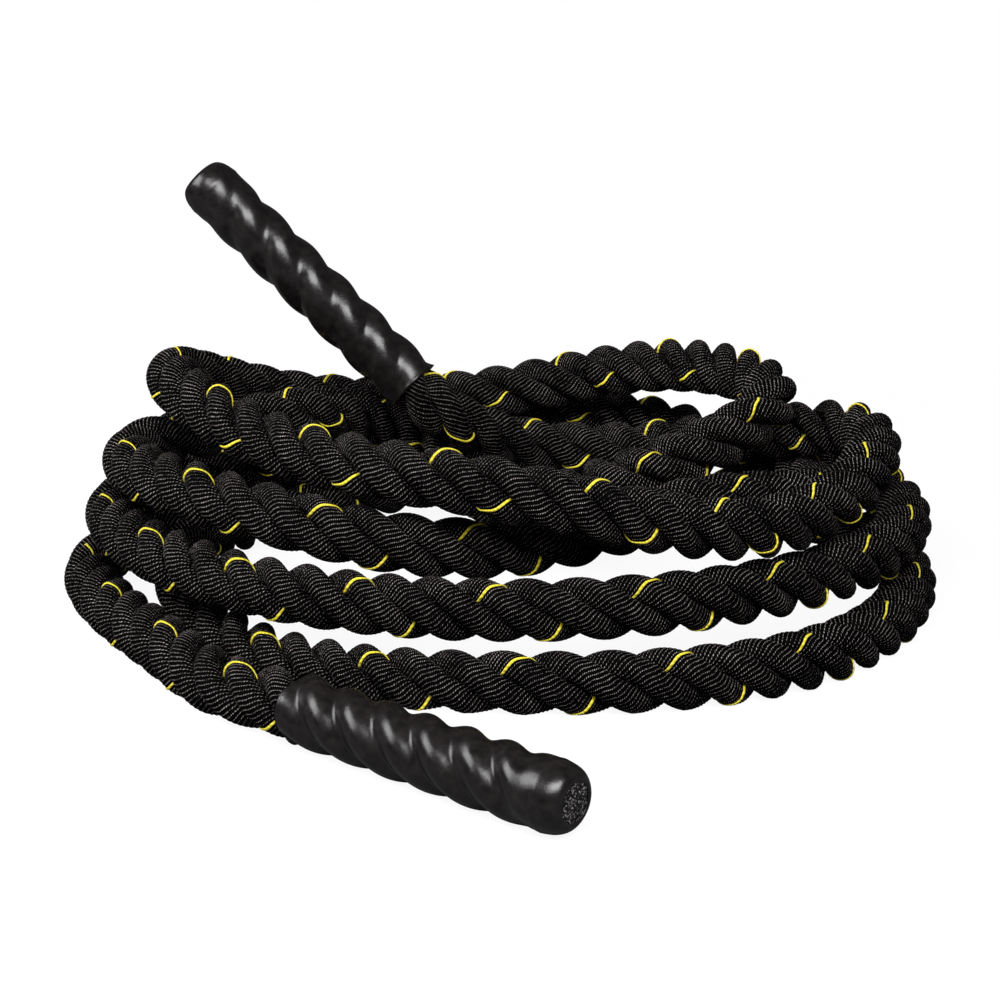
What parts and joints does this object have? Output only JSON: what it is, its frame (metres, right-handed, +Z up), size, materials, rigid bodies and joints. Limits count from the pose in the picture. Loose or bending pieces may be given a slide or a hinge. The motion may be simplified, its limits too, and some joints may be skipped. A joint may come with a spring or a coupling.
{
  "type": "battle rope",
  "caption": "Black three-strand laid battle rope with a tracer yarn, coiled on the floor in stacked loops, with a heat-shrunk sleeve as the handle on each end.",
  "frame": {"origin": "on the floor, under the middle of the bounding box", "axes": "+Z up from the floor, +X to the right and -Y towards the front, where the lower handle lies"},
  "size_m": [0.5897, 0.6595, 0.2733],
  "materials": {
    "laid_yarn": "matt twisted yarn, near black with fine grey ribs",
    "tracer_yarn": "matt yellow yarn in one strand, made in the visual model",
    "shrunk_plastic": "glossy black heat-shrink",
    "fused_yarn": "cut yarn ends melted together"
  },
  "bodies": {
    "root": {"rope_coil": "laid_yarn", "rope_tail_lower": "laid_yarn", "rope_tail_upper": "laid_yarn", "handle_sleeve_lower": "shrunk_plastic", "handle_sleeve_upper": "shrunk_plastic", "lower_strand_end_1": "fused_yarn", "lower_strand_end_2": "fused_yarn", "lower_strand_end_3": "fused_yarn", "upper_strand_end_1": "fused_yarn", "upper_strand_end_2": "fused_yarn", "upper_strand_end_3": "fused_yarn"}
  },
  "joints": []
}
